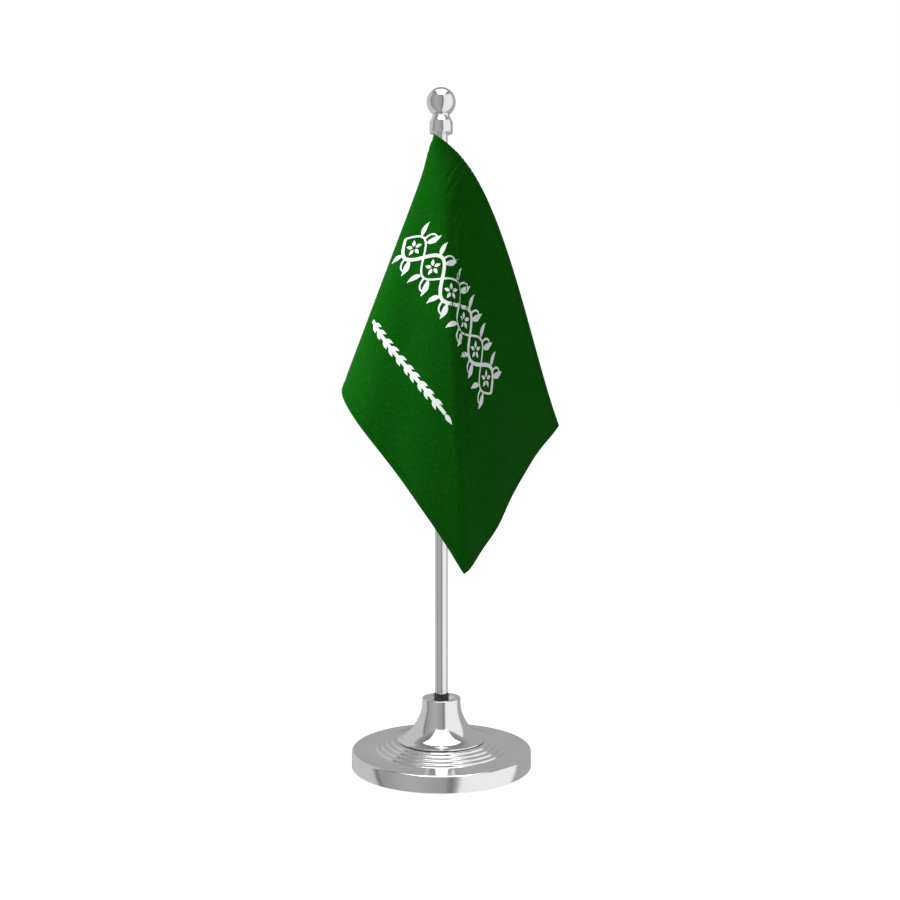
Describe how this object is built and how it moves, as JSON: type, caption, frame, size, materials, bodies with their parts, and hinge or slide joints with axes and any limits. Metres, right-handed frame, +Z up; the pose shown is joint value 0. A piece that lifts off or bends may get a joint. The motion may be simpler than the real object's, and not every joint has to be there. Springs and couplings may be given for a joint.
{
  "type": "desk flag stand",
  "caption": "Small rectangular cloth flag on a chromed pole that plugs into a round weighted base with a trumpet collar, under a ball finial.",
  "frame": {"origin": "centre of the underside of the base pad, on the surface the stand rests on", "axes": "+Z up along the pole; -Y towards the viewer, the side the flag's face is seen from; +X to the viewer's right, towards the flag's fly"},
  "size_m": [0.1381, 0.1161, 0.4192],
  "materials": {
    "chrome": "polished chrome plate",
    "steel": "zinc-plated steel",
    "iron": "rough cast iron",
    "brass": "turned brass",
    "black_plastic": "matt black plastic",
    "rubber": "black rubber",
    "felt": "black felt",
    "nylon": "natural nylon",
    "flag_fabric": "green satin-weave polyester"
  },
  "bodies": {
    "base": {"base_pad": "felt", "base_cover": "chrome", "base_weight": "iron", "base_bolt": "steel", "spring_washer": "steel", "flat_washer": "steel", "collar_gasket": "rubber", "stem_collar": "chrome"},
    "bush": {"pole_bush": "black_plastic", "bush_ring": "rubber"},
    "pole": {"pole_tube": "chrome", "pole_end_plug": "steel", "pole_insert": "brass", "sleeve_stop_ring": "rubber"},
    "flag": {"flag_sleeve": "flag_fabric", "flag_cloth": "flag_fabric"},
    "finial_lift": {"finial_washer": "nylon"},
    "finial": {"finial_collar": "chrome", "finial_ball": "chrome", "finial_stud": "steel"}
  },
  "joints": [
    {"name": "pole_lift", "type": "slide", "parent": "base", "child": "bush", "axis": [0, 0, 1], "range_m": [0, 0.018]},
    {"name": "pole_turn", "type": "hinge", "parent": "bush", "child": "pole", "pos_m": [0, 0, 0.04], "axis": [0, 0, 1], "continuous": true},
    {"name": "flag_swing", "type": "hinge", "parent": "pole", "child": "flag", "pos_m": [0, 0, 0.315], "axis": [0, 0, 1], "continuous": true},
    {"name": "finial_rise", "type": "slide", "parent": "pole", "child": "finial_lift", "axis": [0, 0, 1], "range_m": [0, 0.0052]},
    {"name": "finial_unscrew", "type": "hinge", "parent": "finial_lift", "child": "finial", "pos_m": [0, 0, 0.4], "axis": [0, 0, 1], "range_deg": [0, 2520]}
  ],
  "couplings": [
    {"joint": "finial_rise", "follows": "finial_unscrew", "m_per_rad": 0.00011141}
  ]
}
